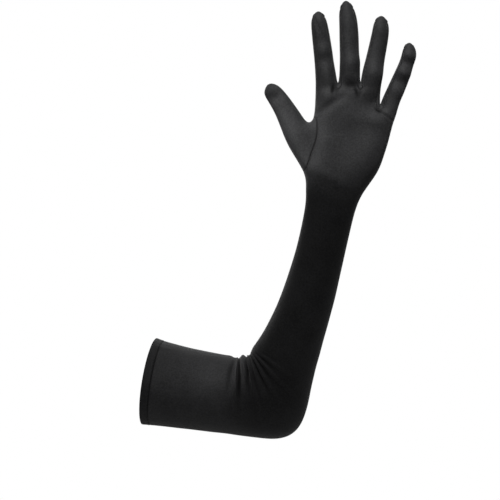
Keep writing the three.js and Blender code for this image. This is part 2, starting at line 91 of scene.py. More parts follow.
fingers = {
    "index": {
        "tip": (171.3, -44.5, 377.4),
        "sections": [
            {"at": (179.3, -53.0, 309.5), "turn": 11, "wide": 10.1, "deep": 9.6},
            {"at": (176.2, -49.3, 335.0), "turn": 7, "wide": 9.4, "deep": 8.8},
            {"at": (173.3, -46.2, 359.5), "turn": 7, "wide": 8.5, "deep": 7.7},
            {"at": (171.5, -45.0, 370.8), "turn": 6, "wide": 7.2, "deep": 6.4},
        ],
    },
    "middle": {
        "tip": (199.6, -43.0, 388.3),
        "sections": [
            {"at": (203.1, -53.0, 310.5), "turn": 1, "wide": 10.1, "deep": 9.8},
            {"at": (203.1, -48.6, 338.0), "turn": 1, "wide": 9.5, "deep": 9.0},
            {"at": (202.3, -44.9, 366.0), "turn": 2, "wide": 9.2, "deep": 7.9},
            {"at": (200.5, -43.5, 380.3), "turn": 4, "wide": 7.5, "deep": 6.4},
        ],
    },
    "ring": {
        "tip": (235.6, -45.5, 372.6),
        "sections": [
            {"at": (223.9, -54.5, 302.5), "turn": -32, "wide": 11.2, "deep": 9.4},
            {"at": (229.0, -50.2, 328.5), "turn": -11, "wide": 9.4, "deep": 8.6},
            {"at": (234.8, -47.2, 354.5), "turn": -9, "wide": 8.2, "deep": 7.5},
            {"at": (235.4, -46.0, 366.6), "turn": -6, "wide": 7.1, "deep": 6.2},
        ],
    },
    "little": {
        "tip": (263.5, -51.5, 344.9),
        "sections": [
            {"at": (243.8, -56.0, 285.5), "turn": -10, "wide": 9.0, "deep": 8.4},
            {"at": (253.7, -53.8, 305.5), "turn": -23, "wide": 8.3, "deep": 7.7},
            {"at": (262.3, -52.3, 328.0), "turn": -17, "wide": 6.9, "deep": 6.6},
            {"at": (263.6, -51.8, 338.2), "turn": -8, "wide": 6.6, "deep": 5.8},
        ],
    },
}
thumb = {
    "tip": (121.3, -54.0, 302.4),
    "sections": [
        {"at": (150.0, -64.5, 251.0), "turn": 48, "wide": 14.9, "deep": 14.0},
        {"at": (143.9, -63.0, 264.8), "turn": 32, "wide": 12.2, "deep": 11.4},
        {"at": (136.2, -60.0, 279.3), "turn": 29, "wide": 10.5, "deep": 10.0},
        {"at": (128.2, -57.5, 291.4), "turn": 29, "wide": 9.5, "deep": 8.8},
        {"at": (123.1, -55.0, 298.0), "turn": 30, "wide": 8.3, "deep": 7.3},
    ],
    "seamShift": [0, 2.5, 3.5, 0.5],  # how far its seam bows into the palm, row by row
}
netShape = {
    "palmRoundness": 2.7,  # of the palm's section, where an ellipse has 2
    "palmHollow": 3,
    "thenarFade": 4,
    "edgePlace": 0.95,  # how far out the palm's last columns lie, in half widths
    "sideSeam": 1.035,  # and the points of its sides
    "baseY": -56.5,
    "outerProud": 0.8,  # how far the sides stand out where the fingers begin
    "innerProud": 0.4,
    "stripBase": 42,  # half the angle of the strip between two fingers
    "stripTip": 34,
    "stripEnd": 12,
    "tipDrawn": 1.25,  # how far smoothing draws a tip back, in lengths of the last row
    "column": 14 * mm,  # sizes of the cloth between the net's lines, for its UV map
    "digitColumn": 7 * mm,
    "baseRow": 30 * mm,
    "shortestRow": 12,
    "tipRow": 8 * mm,
    "levels": 3,
}
columns = 8  # columns of the net across the palm, two for each finger
rightSide = columns + 1  # index of the outer side column in a ring
leftSide = 2 * columns + 3
ringCount = 2 * columns + 4
fingerOuter, fingerInner = 3, 7  # points of a finger's ring that face the fingers beside it
# The net's material slots, one for each cloth: the strips between fingers have 2, 3 and 4.
trankCloth, thumbCloth, stripCloth, hemCloth = 0, 1, 2, 5
clothCount = 6


def mixed(a, b, t):
    return a + (b - a) * t


def behind(column):
    return rightSide + 1 + columns - column


# A table's column at a place between its rows, on a smooth curve.
def valueAt(rows, key, column, at):
    last = len(rows) - 1
    direction = math.copysign(1, rows[last][key] - rows[0][key])
    i = 0
    while i < last - 1 and (rows[i + 1][key] - at) * direction < 0:
        i += 1
    low, high = rows[i], rows[i + 1]
    t = min(max((at - low[key]) / (high[key] - low[key]), 0), 1)
    startSlope = (high[column] - rows[max(i - 1, 0)][column]) / 2
    endSlope = (rows[min(i + 2, last)][column] - low[column]) / 2
    rise = high[column] - low[column]
    return (
        low[column] + startSlope * (t**3 - 2 * t**2 + t) + endSlope * (t**3 - t**2)
        + rise * (3 * t**2 - 2 * t**3)
    )


def gloveSections():
    fan = []
    for i in range(elbow["rows"]):
        turn = mixed(elbow["from"], elbow["to"], i / (elbow["rows"] - 1))
        across = Vector((math.cos(math.radians(turn)), -math.sin(math.radians(turn))))
        pivot = Vector((elbow["x"], elbow["z"]))
        near = pivot + across * elbow["inner"]
        far = pivot + across * valueAt(elbowEdge, "turn", "outer", turn)
        fan.append({
            "inX": near.x, "inZ": near.y, "outX": far.x, "outZ": far.y,
            "y": valueAt(elbowEdge, "turn", "y", turn),
            "deep": valueAt(elbowEdge, "turn", "deep", turn),
        })
    palm = [{**row, **shape} for row, shape in zip(palmRows, palmShape)]
    return upperSleeve + fan + lowerSleeve + palm


def middleOf(row):
    return Vector(((row["inX"] + row["outX"]) / 2, row["y"], (row["inZ"] + row["outZ"]) / 2))


# One ring of the net: nine columns in front, the outer side, nine behind and the thumb's side.
def sectionPlaces(sections, i):
    row = sections[i]
    middle = middleOf(row)
    tangent = middleOf(sections[min(i + 1, len(sections) - 1)]) - middleOf(sections[max(i - 1, 0)])
    half = Vector((row["outX"] - row["inX"], 0, row["outZ"] - row["inZ"])) / 2
    away = tangent.cross(half).normalized()
    if away.y < 0:
        away.negate()
    palm = row.get("palm", 0)
    span = fingerBases[columns]["x"] - fingerBases[0]["x"]

    def place(column, side):
        even = -math.cos(math.pi * (column + 1) / (columns + 2))
        spread = (fingerBases[column]["x"] - fingerBases[0]["x"]) / span * 2 - 1
        lateral = mixed(even, spread * netShape["edgePlace"], palm)
        roundness = mixed(2, netShape["palmRoundness"], palm)
        depth = row["deep"] * (1 - abs(lateral) ** roundness) ** (1 / roundness)
        if side < 0:
            depth -= palm * netShape["palmHollow"] * math.cos(lateral * math.pi / 2) ** 2
            depth += row.get("thenar", 0) * ((1 - lateral) / 2) ** netShape["thenarFade"]
        rise = row.get("arch", 0) * (1 - lateral * lateral)
        return middle + half * lateral + away * side * depth + Vector((0, 0, rise))

    reach = mixed(1, netShape["sideSeam"], palm)
    front = [place(c, -1) for c in range(columns + 1)]
    back = [place(c, 1) for c in range(columns, -1, -1)]
    return front + [middle + half * reach] + back + [middle - half * reach]


# Extrudes a closed ring, puts its copy at the places and labels the new faces.
def extrudeRing(net, ring, places, cloth, width, low, high):
    uvs = net.loops.layers.uv.active
    count = len(ring)
    edges = [net.edges.get((ring[k], ring[(k + 1) % count])) for k in range(count)]
    made = bmesh.ops.extrude_edge_only(net, edges=edges)["geom"]
    fresh = {part for part in made if isinstance(part, bmesh.types.BMVert)}
    column = {vert: k for k, vert in enumerate(ring)}
    above = []
    for vert, place in zip(ring, places):
        copy = next(e.other_vert(vert) for e in vert.link_edges if e.other_vert(vert) in fresh)
        copy.co = place
        column[copy] = column[vert]
        above.append(copy)
    for face in made:
        if not isinstance(face, bmesh.types.BMFace):
            continue
        ends = sorted({column[vert] for vert in face.verts})
        wraps = ends == [0, count - 1]
        first = count - 1 if wraps else ends[0]
        face.material_index = cloth(first)
        face.smooth = True
        for loop in face.loops:
            at = column[loop.vert]
            at = count if wraps and at == 0 else at
            loop[uvs].uv = (at * width, high if loop.vert in fresh else low)
    return above


# Closes a ring with quads round one point at its tip. The edges that meet there come from every
# second point of the ring, from the given first one.
def closeTip(net, ring, tip, firstEdge, cloth, width, low, high):
    uvs = net.loops.layers.uv.active
    count = len(ring)
    edges = [net.edges.get((ring[k], ring[(k + 1) % count])) for k in range(count)]
    cap = bmesh.ops.contextual_create(net, geom=edges)["faces"]
    poked = bmesh.ops.poke(net, faces=cap)
    middle = poked["verts"][0]
    middle.co = tip
    dissolved = range(1 - firstEdge, count, 2)
    spokes = [net.edges.get((ring[k], middle)) for k in dissolved]
    bmesh.ops.dissolve_edges(net, edges=spokes, use_verts=False)
    for face in middle.link_faces:
        inside = [k for k in dissolved if ring[k] in face.verts][0]
        face.material_index = cloth(inside)
        face.smooth = True
        for loop in face.loops:
            if loop.vert == middle:
                loop[uvs].uv = (inside * width, high)
                continue
            at = ring.index(loop.vert)
            at = count if at == 0 and inside == count - 1 else at
            loop[uvs].uv = (at * width, low)
    return middle


def digitPlaces(section, angles, grow):
    turn = math.radians(section["turn"])
    across = Vector((math.cos(turn), 0, math.sin(turn))) * section["wide"] / grow
    away = Vector((0, 1, 0)) * section["deep"] / grow
    middle = Vector(section["at"])
    return [
        middle + across * math.cos(math.radians(a)) + away * math.sin(math.radians(a))
        for a in angles
    ]


# The closing point lies beyond the tip by as much as the smoothing draws it back.
def tipPlace(digit):
    end, ring = Vector(digit["tip"]), Vector(digit["sections"][-1]["at"])
    drawn = netShape["tipDrawn"]
    return end * (1 + drawn) - ring * drawn


# How much smaller the smoothing makes a ring of so many points.
def drawnIn(count):
    return (4 + 2 * math.cos(2 * math.pi / count)) / 6


def buildDigit(net, digit, ring, anglesAt, firstEdge, cloth, start):
    rings = [ring]
    at = Vector(digit["sections"][0]["at"])
    low = start
    width = netShape["digitColumn"]
    for i, section in enumerate(digit["sections"]):
        length = (Vector(section["at"]) - at).length
        high = low + max(length, netShape["shortestRow"]) * mm
        places = digitPlaces(section, anglesAt(i), drawnIn(len(ring)))
        ring = extrudeRing(net, ring, places, cloth, width, low, high)
        rings.append(ring)
        at, low = Vector(section["at"]), high
    high = low + netShape["tipRow"]
    middle = closeTip(net, ring, tipPlace(digit), firstEdge, cloth, width, low, high)
    return rings, middle


def markSeam(net, verts):
    for a, b in zip(verts, verts[1:]):
        net.edges.get((a, b)).seam = True


def buildNet():
    net = bmesh.new()
    net.loops.layers.uv.new("cloth")
    sections = gloveSections()
    ring = bmesh.ops.create_circle(net, segments=ringCount, radius=1)["verts"]
    for vert, place in zip(ring, sectionPlaces(sections, 0)):
        vert.co = place
    rings = [ring]
    low = 0
    for i in range(1, len(sections)):
        step = (middleOf(sections[i]) - middleOf(sections[i - 1])).length * mm
        cloth = hemCloth if i == 1 else trankCloth
        ring = extrudeRing(
            net, ring, sectionPlaces(sections, i), lambda k, c=cloth: c,
            netShape["column"], low, low + step,
        )
        rings.append(ring)
        low += step

    # The ring where the fingers leave the palm, with the points between the fingers.
    baseY = netShape["baseY"]
    front = [Vector((b["x"], baseY - b["proud"], b["front"])) for b in fingerBases]
    back = [Vector((b["x"], baseY + b["proud"], b["back"])) for b in fingerBases]
    last = fingerBases[columns]
    first = fingerBases[0]
    places = (
        front + [Vector((last["x"] + netShape["outerProud"], baseY, last["side"]))]
        + back[::-1] + [Vector((first["x"] - netShape["innerProud"], baseY, first["side"]))]
    )
    step = netShape["baseRow"]
    base = extrudeRing(
        net, ring, places, lambda k: trankCloth, netShape["column"], low, low + step
    )
    low += step

    # The thumb grows from a hole at the thumb's side of the last four rings.
    bottom, lower, upper, top = rings[-4:]
    back0 = behind(0)
    hole = []
    for row, above in ((bottom, lower), (lower, upper), (upper, top)):
        for a, b in ((leftSide, 0), (back0, leftSide)):
            corners = {row[a], row[b], above[a], above[b]}
            hole += [f for f in row[a].link_faces if set(f.verts) == corners]
    bmesh.ops.delete(net, geom=hole, context="FACES")
    for row, shift in zip((bottom, lower, upper, top), thumb["seamShift"]):
        row[0].co.x += shift
    rim = [
        top[leftSide], top[0], upper[0], lower[0], bottom[0],
        bottom[leftSide], bottom[back0], lower[back0], upper[back0], top[back0],
    ]
    around = [-360 * k / len(rim) for k in range(len(rim))]
    thumbRings, thumbTip = buildDigit(
        net, thumb, rim, lambda i: around, 0, lambda k: thumbCloth, 0
    )
    markSeam(net, [r[0] for r in thumbRings] + [thumbTip])

    # Each finger grows from its share of the base ring and the points beside it.
    between = {0: base[leftSide], columns: base[rightSide]}
    for c in range(2, columns, 2):
        b = fingerBases[c]
        vert = net.verts.new((b["x"], baseY, b["side"]))
        net.edges.new((base[c], vert))
        net.edges.new((vert, base[behind(c)]))
        between[c] = vert
    for number, digit in enumerate(fingers.values()):
        c = number * 2
        rim = [
            base[c], base[c + 1], base[c + 2], between[c + 2],
            base[behind(c + 2)], base[behind(c + 1)], base[behind(c)], between[c],
        ]
        hasRight = number < len(fingers) - 1
        hasLeft = number > 0

        def cloth(k, number=number, hasRight=hasRight, hasLeft=hasLeft):
            if k in (fingerOuter - 1, fingerOuter) and hasRight:
                return stripCloth + number
            if k in (fingerInner - 1, fingerInner) and hasLeft:
                return stripCloth + number - 1
            return trankCloth

        def anglesAt(i, count=len(digit["sections"])):
            strip = mixed(netShape["stripBase"], netShape["stripTip"], i / (count - 1))
            if i == count - 1:
                strip = netShape["stripEnd"]
            return [strip - 180, -90, -strip, 0, strip, 90, 180 - strip, 180]

        digitRings, tip = buildDigit(net, digit, rim, anglesAt, 1, cloth, low)
        for face in tip.link_faces:
            face.material_index = trankCloth
        if not hasRight:
            markSeam(net, [r[fingerOuter] for r in digitRings[1:]])
        markSeam(net, [digitRings[-1][fingerOuter], tip])
        markSeam(net, [digitRings[-1][fingerInner], tip])
    # The long seam of the trank runs up the outer side, from the hem to the little finger.
    markSeam(net, [r[rightSide] for r in rings[1:]] + [base[rightSide]])
    markSeam(net, [base[rightSide], digitRings[1][fingerOuter]])
    bmesh.ops.recalc_face_normals(net, faces=net.faces)
    bmesh.ops.scale(net, verts=net.verts, vec=(mm, mm, mm))
    return net


# The net smoothed to its fine sheet, as a new bmesh.
def smoothedSheet(net):
    mesh = bpy.data.meshes.new("net")
    net.to_mesh(mesh)
    net.free()
    holder = bpy.data.objects.new("net", mesh)
    bpy.context.scene.collection.objects.link(holder)
    for slot in range(clothCount):
        mesh.materials.append(None)
    rounder = holder.modifiers.new("Smooth", "SUBSURF")
    rounder.levels = rounder.render_levels = netShape["levels"]
    depsgraph = bpy.context.evaluated_depsgraph_get()
    fine = bpy.data.meshes.new_from_object(holder.evaluated_get(depsgraph))
    sheet = bmesh.new()
    sheet.from_mesh(fine)
    bpy.data.objects.remove(holder)
    bpy.data.meshes.remove(mesh)
    bpy.data.meshes.remove(fine)
    return sheet


# Folds and grooves that fan from the crease of the elbow: the direction in which each leaves it
# and the one it settles to, in degrees on the fan, then half its width at the crease, its height,
# how much of that it has at the crease itself, and its reach.
elbowFolds = {
    "rows": [
        {"leaves": 112, "settles": 104, "wide": 2.0, "high": -2.4, "start": 0.3, "reach": 72},
        {"leaves": 97, "settles": 94, "wide": 0.6, "high": 4.4, "start": 0.1, "reach": 84},
        {"leaves": 90.5, "settles": 90, "wide": 1.4, "high": -5.4, "start": 0.05, "reach": 74},
        {"leaves": 89, "settles": 79, "wide": 0.5, "high": 2.4, "start": 0.0, "reach": 58},
        {"leaves": 74, "settles": 75, "wide": 3.3, "high": 1.9, "start": 2.7, "reach": 60},
        {"leaves": 58, "settles": 80, "wide": 0.9, "high": -4.4, "start": 0.2, "reach": 64},
        {"leaves": 53, "settles": 73, "wide": 0.6, "high": 6.2, "start": 0.1, "reach": 88},
        {"leaves": 38, "settles": 58, "wide": 0.9, "high": -2.2, "start": 0.1, "reach": 76},
        {"leaves": 34, "settles": 54, "wide": 0.9, "high": 3.2, "start": 0.1, "reach": 92},
        {"leaves": 24, "settles": 42, "wide": 0.9, "high": 3.0, "start": 0.1, "reach": 92},
        {"leaves": 14, "settles": 30, "wide": 0.9, "high": 2.6, "start": 0.1, "reach": 78},
        {"leaves": 4, "settles": 18, "wide": 0.8, "high": 2.0, "start": 0.1, "reach": 58},
    ],
    "settlesOver": 14,  # way from the crease over which a fold turns to where it settles
    "startOver": 4,  # and over which it gets its height
    "widening": 0.024,
    "valley": 0.5,  # depth of the hollows beside a fold, as a share of its height
    "valleyWidth": 2.2,
    "deepest": 1.7,  # depth at which a groove's painted shade is darkest
}


def foldRise(place):
    dx, dz = place.x / mm - elbow["x"], elbow["z"] - place.z / mm
    distance = math.hypot(dx, dz)
    turn = math.atan2(dz, dx)
    past = elbow["inner"] - distance
    rise = 0
    for fold in elbowFolds["rows"]:
        share = distance / fold["reach"]
        if share >= 1:
            continue
        early = math.exp(past / elbowFolds["settlesOver"])
        middle = math.radians(mixed(fold["settles"], fold["leaves"], early))
        width = fold["wide"] + elbowFolds["widening"] * distance
        off = (turn - middle) * distance / width
        trough = off / elbowFolds["valleyWidth"]
        crest = math.exp(-off * off) - elbowFolds["valley"] * math.exp(-trough * trough)
        high = fold["high"] * mixed(1, fold["start"], math.exp(past / elbowFolds["startOver"]))
        rise += high * (1 - share * share) ** 2 * crest
    return rise


# Soft pads, creases and tucks: where each lies, the way it runs, half its length and width, how
# far it stands out and, for a sharp one, how much shade is painted into it. The second list is for
# the back.
palmRelief = [
    {"x": 172.5, "z": 368.6, "turn": 97, "long": 6, "wide": 8, "high": 0.5},
    {"x": 174.0, "z": 355.0, "turn": 113, "long": 11, "wide": 1.8, "high": -1.3},
    {"x": 175.0, "z": 346.6, "turn": 7, "long": 9, "wide": 5, "high": -1.0},
    {"x": 176.5, "z": 336.0, "turn": 97, "long": 5, "wide": 8, "high": 0.8},
    {"x": 177.5, "z": 326.6, "turn": 7, "long": 9, "wide": 4, "high": -1.0},
    {"x": 179.0, "z": 313.0, "turn": 97, "long": 7, "wide": 8, "high": 1.2},
    {"x": 180.0, "z": 299.0, "turn": 8, "long": 8, "wide": 4, "high": -1.4},
    {"x": 179.5, "z": 289.0, "turn": 0, "long": 9, "wide": 7, "high": 1.2},
    {"x": 201.0, "z": 366.0, "turn": 92, "long": 9, "wide": 8, "high": 0.8},
    {"x": 202.5, "z": 320.6, "turn": 90, "long": 11, "wide": 10, "high": 2.8},
    {"x": 208.0, "z": 326.0, "turn": 70, "long": 7, "wide": 7, "high": 1.6},
    {"x": 204.0, "z": 300.5, "turn": -6, "long": 10, "wide": 5, "high": -5.4},
    {"x": 203.0, "z": 288.0, "turn": 0, "long": 12, "wide": 5, "high": -0.6},
    {"x": 206.0, "z": 269.0, "turn": 5, "long": 13, "wide": 10, "high": 1.0},
    {"x": 232.7, "z": 357.6, "turn": 80, "long": 6, "wide": 7, "high": 0.8},
    {"x": 227.0, "z": 312.5, "turn": 76, "long": 11, "wide": 9, "high": 4.2},
    {"x": 226.5, "z": 283.0, "turn": -18, "long": 10, "wide": 9, "high": -4.8},
    {"x": 228.0, "z": 264.0, "turn": -20, "long": 11, "wide": 7, "high": 1.8},
    {"x": 262.5, "z": 331.6, "turn": -15, "long": 7, "wide": 4, "high": 1.5},
    {"x": 260.8, "z": 323.5, "turn": -17, "long": 8, "wide": 4, "high": -1.9},
    {"x": 257.5, "z": 313.5, "turn": -20, "long": 8, "wide": 4, "high": 2.0},
    {"x": 254.5, "z": 304.5, "turn": -20, "long": 8, "wide": 4, "high": -2.1},
    {"x": 250.5, "z": 294.0, "turn": -22, "long": 8, "wide": 5, "high": 1.3},
    {"x": 127.0, "z": 289.5, "turn": 120, "long": 6, "wide": 9, "high": -3.3},
    {"x": 179.0, "z": 279.6, "turn": 33, "long": 19, "wide": 2.6, "high": -1.7, "dark": 0.35},
    {"x": 184.0, "z": 273.0, "turn": 35, "long": 18, "wide": 5, "high": 0.8},
    {"x": 177.0, "z": 209.5, "turn": -26, "long": 24, "wide": 6, "high": 2.8},
    {"x": 185.5, "z": 297.6, "turn": 80, "long": 4.5, "wide": 1.6, "high": -1.4, "dark": 1.7},
    {"x": 188.5, "z": 296.6, "turn": 105, "long": 4.0, "wide": 1.3, "high": -0.9, "dark": 0.6},
    {"x": 209.5, "z": 294.6, "turn": 100, "long": 5, "wide": 1.6, "high": -1.6, "dark": 1.7},
    {"x": 213.0, "z": 293.0, "turn": 80, "long": 4, "wide": 1.3, "high": -0.9, "dark": 0.6},
    {"x": 231.8, "z": 276.2, "turn": 110, "long": 3, "wide": 2.4, "high": -1.2, "dark": 1.3},
    {"x": 239.0, "z": 273.6, "turn": -43, "long": 7, "wide": 1.1, "high": 0.8},
    {"x": 237.3, "z": 271.3, "turn": -42, "long": 8, "wide": 1.1, "high": -0.8, "dark": 0.5},
    {"x": 236.0, "z": 269.2, "turn": -40, "long": 8, "wide": 1.1, "high": 0.8},
]
backRelief = [
    {"x": 179, "z": 290, "turn": 95, "long": 10, "wide": 7, "high": 1.3},
    {"x": 202, "z": 298, "turn": 90, "long": 10, "wide": 7, "high": 1.4},
    {"x": 223, "z": 290, "turn": 80, "long": 10, "wide": 7, "high": 1.3},
    {"x": 240, "z": 274, "turn": 75, "long": 9, "wide": 6, "high": 1.2},
    {"x": 176.5, "z": 333, "turn": 95, "long": 6, "wide": 7, "high": 0.7},
    {"x": 203.2, "z": 338, "turn": 90, "long": 6, "wide": 7, "high": 0.7},
    {"x": 229, "z": 328, "turn": 79, "long": 6, "wide": 7, "high": 0.7},
    {"x": 254, "z": 307, "turn": 67, "long": 5, "wide": 6, "high": 0.6},
]
softness = {
    "facing": 1.6,  # how soon a side's relief is full as the cloth turns to that side
    "wave": 0.35,  # unevenness all over
    "waveLength": 26,
    "pucker": 0.3,  # gathers along the hem
    "puckersRound": 7.5,
    "puckerLength": 30,
    "puckerFade": 12,
    "puckerEnd": 36,
}


def reliefRise(marks, place):
    x, z = place.x / mm, place.z / mm
    rise = dark = 0
    for mark in marks:
        dx, dz = x - mark["x"], z - mark["z"]
        turn = math.radians(mark["turn"])
        along = (dx * math.cos(turn) + dz * math.sin(turn)) / mark["long"]
        across = (dz * math.cos(turn) - dx * math.sin(turn)) / mark["wide"]
        share = math.exp(-along * along - across * across)
        rise += mark["high"] * share
        # painted shade, darkening the cloth's colour in a sharp crease
        dark += mark.get("dark", 0) * share
    return rise, dark


# Small gathers along the hem's stitching, and a slight unevenness all over.
def clothRise(place):
    rise = softness["wave"] * noise.noise(place / mm / softness["waveLength"])
    seam = upperSleeve[1]
    half = Vector((seam["inX"] - seam["outX"], seam["inZ"] - seam["outZ"])) / 2
    middle = Vector((seam["inX"] + seam["outX"], seam["inZ"] + seam["outZ"])) / 2
    off = Vector((place.x, place.z)) / mm - middle
    high = off.dot(half.normalized())
    along = abs(off.cross(half.normalized()))
    if along < softness["puckerEnd"]:
        turn = math.atan2(high, place.y / mm - seam["y"])
        reach = softness["puckersRound"]
        length = along / softness["puckerLength"]
        at = Vector((math.cos(turn) * reach, math.sin(turn) * reach, length))
        rise += softness["pucker"] * noise.noise(at) * math.exp(-along / softness["puckerFade"])
    return rise


def pressRelief(sheet):
    sheet.normal_update()
    paintedShadeMask = sheet.verts.layers.float.new("paintedShadeMask")
    moves = []
    for vert in sheet.verts:
        folded = foldRise(vert.co)
        rise = clothRise(vert.co) + folded
        # Painted shade: the deeper a fold's groove, the darker the cloth's colour is painted; on the
        # hand, the sharp creases' share of painted shade is used instead.
        dark = -folded / elbowFolds["deepest"]
        if vert.co.z > palmRows[0]["inZ"] * mm:
            front = min(max(-vert.normal.y * softness["facing"], -1), 1)
            relief, dark = reliefRise(palmRelief if front > 0 else backRelief, vert.co)
            rise += abs(front) * relief
        vert[paintedShadeMask] = min(max(dark, 0), 1)
        moves.append(vert.normal * rise * mm)
    for vert, move in zip(sheet.verts, moves):
        vert.co += move


# A seam is rolled in: the cloth's edge gets a narrow band that dips to the stitching, with shade
# painted there as dark as in a fold.
seamRoll = {
    "band": 0.55 * mm,
    "dip": 0.45 * mm,
    "shoulder": 0.06 * mm,
    "lap": 0.15 * mm,
    "shade": 0.45,  # how dark the shade painted on the band's inner line is, where the stitching has 1
}


def rollSeams(piece, keep):
    piece.normal_update()
    rim = {v for v in piece.verts if v.is_boundary and not keep(v)}
    normals = {v: v.normal.copy() for v in rim}
    made = bmesh.ops.inset_region(
        piece, faces=piece.faces[:], thickness=seamRoll["band"], use_boundary=True,
        use_even_offset=False, use_interpolate=True,
    )
    shoulder = {v for f in made["faces"] for v in f.verts} - rim
    paintedShadeMask = piece.verts.layers.float["paintedShadeMask"]
    for vert in rim:
        inner = next(e.other_vert(vert) for e in vert.link_edges if e.other_vert(vert) in shoulder)
        outwards = (vert.co - inner.co).normalized()
        vert.co += outwards * seamRoll["lap"] - normals[vert] * seamRoll["dip"]
        # Painted shade: the seam's dip and its shoulder get the mask that darkens the cloth's
        # colour.
        vert[paintedShadeMask] = 1
    for vert in shoulder:
        vert.co -= vert.normal * seamRoll["shoulder"]
        vert[paintedShadeMask] = seamRoll["shade"]


def pieceOf(sheet, index, name, wall, keep=lambda vert: False):
    piece = sheet.copy()
    others = [face for face in piece.faces if face.material_index != index]
    bmesh.ops.delete(piece, geom=others, context="FACES")
    for face in piece.faces:
        face.material_index = 0
    seams = [edge for edge in piece.edges if edge.seam and not edge.is_boundary]
    if seams:
        bmesh.ops.split_edges(piece, edges=seams)
    rollSeams(piece, keep)
    mesh = bpy.data.meshes.new(name)
    piece.to_mesh(mesh)
    piece.free()
    made = bpy.data.objects.new(name, mesh)
    bpy.context.scene.collection.objects.link(made)
    solid = made.modifiers.new("Wall", "SOLIDIFY")
    solid.thickness = wall
    solid.offset = -1
    return made


# The stitching that holds the hem's turned-in cloth: short dashes along the hem's inner edge.
stitch = {
    "pitch": 3.4 * mm,
    "long": 1.25 * mm,
    "thick": 0.3 * mm,
    "fromSeam": 1.3 * mm,
    "sunk": 0.05 * mm,
    "sides": 8,
    "rings": 6,
}


def hemStitchPlaces(sheet):
    def isHem(face):
        return face.material_index == hemCloth

    sheet.normal_update()
    seam = [
        edge for edge in sheet.edges
        if len(edge.link_faces) == 2 and sum(isHem(face) for face in edge.link_faces) == 1
    ]
    nextEdges = {}
    for edge in seam:
        for vert in edge.verts:
            nextEdges.setdefault(vert, []).append(edge)
    edge, vert = seam[0], seam[0].verts[0]
    loop = []
    while len(loop) < len(seam):
        face = next(f for f in edge.link_faces if isHem(f))
        towards = (face.calc_center_median() - vert.co).normalized()
        along = (edge.other_vert(vert).co - vert.co).normalized()
        across = (towards - along * towards.dot(along)).normalized()
        loop.append((vert.co + across * stitch["fromSeam"], vert.normal.copy()))
        vert = edge.other_vert(vert)
        edge = next(e for e in nextEdges[vert] if e != edge)
    return loop


def hemStitches(loop):
    points = [place for place, normal in loop]
    steps = [(b - a).length for a, b in zip(points, points[1:] + points[:1])]
    count = round(sum(steps) / stitch["pitch"])
    made = bmesh.new()
    at, i = 0, 0
    for k in range(count):
        target = k * sum(steps) / count
        while at + steps[i] < target:
            at += steps[i]
            i += 1
        place, normal = loop[i]
        after, afterNormal = loop[(i + 1) % len(loop)]
        share = (target - at) / steps[i]
        up = normal.lerp(afterNormal, share).normalized()
        along = (after - place).normalized()
        up = (up - along * up.dot(along)).normalized()
        frameOf = Matrix((along, along.cross(up), up)).transposed().to_4x4()
        frameOf.translation = place.lerp(after, share) - up * stitch["sunk"]
        size = Matrix.Diagonal((stitch["long"], stitch["thick"], stitch["thick"], 1))
        bmesh.ops.create_uvsphere(
            made, u_segments=stitch["sides"], v_segments=stitch["rings"], radius=1,
            matrix=frameOf @ size,
        )
    for face in made.faces:
        face.smooth = True
    mesh = bpy.data.meshes.new("hem_stitches")
    made.to_mesh(mesh)
    made.free()
    thread = bpy.data.objects.new("hem_stitches", mesh)
    bpy.context.scene.collection.objects.link(thread)
    return thread


sheet = smoothedSheet(buildNet())
print("net smoothed to", len(sheet.faces), "faces")
pressRelief(sheet)
print("folds and relief pressed")

clothWall = 1.2 * mm
hemWall = 2.2 * mm
turnedEdge = {"width": 0.5 * mm, "segments": 2, "sharperThan": 60}  # the hem's rounded fold
mouth = {tuple(v.co) for v in sheet.verts if v.is_boundary}
trank = pieceOf(sheet, trankCloth, "trank", clothWall)
thumbPiece = pieceOf(sheet, thumbCloth, "thumb_cloth", clothWall)
strips = [
    pieceOf(sheet, stripCloth + i, name, clothWall)
    for i, name in enumerate(["strip_index_middle", "strip_middle_ring", "strip_ring_little"])
]
hem = pieceOf(sheet, hemCloth, "hem", hemWall, lambda vert: tuple(vert.co) in mouth)
rounded = hem.modifiers.new("Turned edge", "BEVEL")
rounded.width = turnedEdge["width"]
rounded.segments = turnedEdge["segments"]
rounded.limit_method = "ANGLE"
rounded.angle_limit = math.radians(turnedEdge["sharperThan"])
stitchPlaces = hemStitchPlaces(sheet)
sheet.free()
stitches = hemStitches(stitchPlaces)

for piece, nodes, slot in (
    (trank, ["sleeve", "palm", "back"], "satin"),
    (thumbPiece, ["thumb"], "satin"),
    (strips[0], ["fourchette_index_middle"], "fourchette_satin"),
    (strips[1], ["fourchette_middle_ring"], "fourchette_satin"),
    (strips[2], ["fourchette_ring_little"], "fourchette_satin"),
    (hem, ["cuff_hem"], "hem_satin"),
):
    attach(piece, "root")
    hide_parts(*nodes)
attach(stitches, "root")
print("cloth pieces made")


# Satin's fine surface: a thread pattern that follows the cloth, small puckers and a soft
# unevenness of tone.
satinPattern = {
    "weaveScale": 0.32, "weaveDistortion": 1.5, "weaveDetail": 1,
    "puckerDetail": 3, "puckerRoughness": 0.6,
    "softScale": 45, "softDetail": 4,
    "grainScale": 620, "grainDetail": 2, "grainRoughness": 0.7,
}


